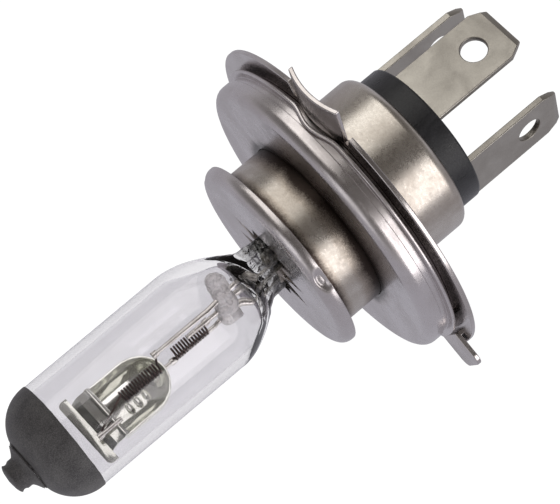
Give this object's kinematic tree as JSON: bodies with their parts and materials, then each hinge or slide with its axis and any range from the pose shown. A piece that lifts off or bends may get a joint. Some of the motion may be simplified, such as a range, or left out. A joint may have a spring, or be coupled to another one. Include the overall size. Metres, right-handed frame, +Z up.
{
  "type": "headlight bulb",
  "caption": "Twin-filament halogen headlamp bulb: glass capsule with dark tip, stepped metal base with lug flange, blade terminals.",
  "frame": {"origin": "on the bulb axis, in the front face of the flange ring, 0.8 mm behind the face of the lugs that seat in the lamp", "axes": "+X along the bulb axis towards the terminals, the glass tip towards -X, +Z up towards the top lug and top terminal"},
  "size_m": [0.0759, 0.0442, 0.0467],
  "materials": {
    "quartz_glass": "clear fused glass tube, pressed flat at the seal",
    "bead_glass": "milky glass bead",
    "black_coating": "baked matt dark grey coating",
    "tungsten": "dull brown-grey coiled wire",
    "molybdenum": "bright drawn wire and foil",
    "shield_metal": "glossy pressed sheet",
    "nickel_sleeve": "warm brushed nickel plate",
    "nickel_cup": "satin nickel plate",
    "nickel_flange": "satin nickel plate with bright edges",
    "terminal_plate": "satin plated blade",
    "insulator_black": "black moulded thermoset",
    "spring_steel": "bright spring strip"
  },
  "bodies": {
    "root": {"glass_envelope": "quartz_glass", "tip_coating": "black_coating", "bridge_bead": "bead_glass", "low_beam_filament": "tungsten", "high_beam_filament": "tungsten", "low_beam_shield": "shield_metal", "shield_post": "molybdenum", "low_beam_lead": "molybdenum", "high_beam_lead": "molybdenum", "common_lead": "molybdenum", "filament_crimps": "molybdenum", "foil_low": "molybdenum", "foil_high": "molybdenum", "foil_common": "molybdenum", "outer_lead_low": "molybdenum", "outer_lead_high": "molybdenum", "outer_lead_common": "molybdenum", "pinch_cup": "nickel_cup", "pinch_clip": "spring_steel", "base_shell": "nickel_sleeve", "seat_cup": "nickel_cup", "lug_flange": "nickel_flange", "terminal_insulator": "insulator_black", "terminal_top": "terminal_plate", "terminal_left": "terminal_plate", "terminal_right": "terminal_plate"}
  },
  "joints": []
}
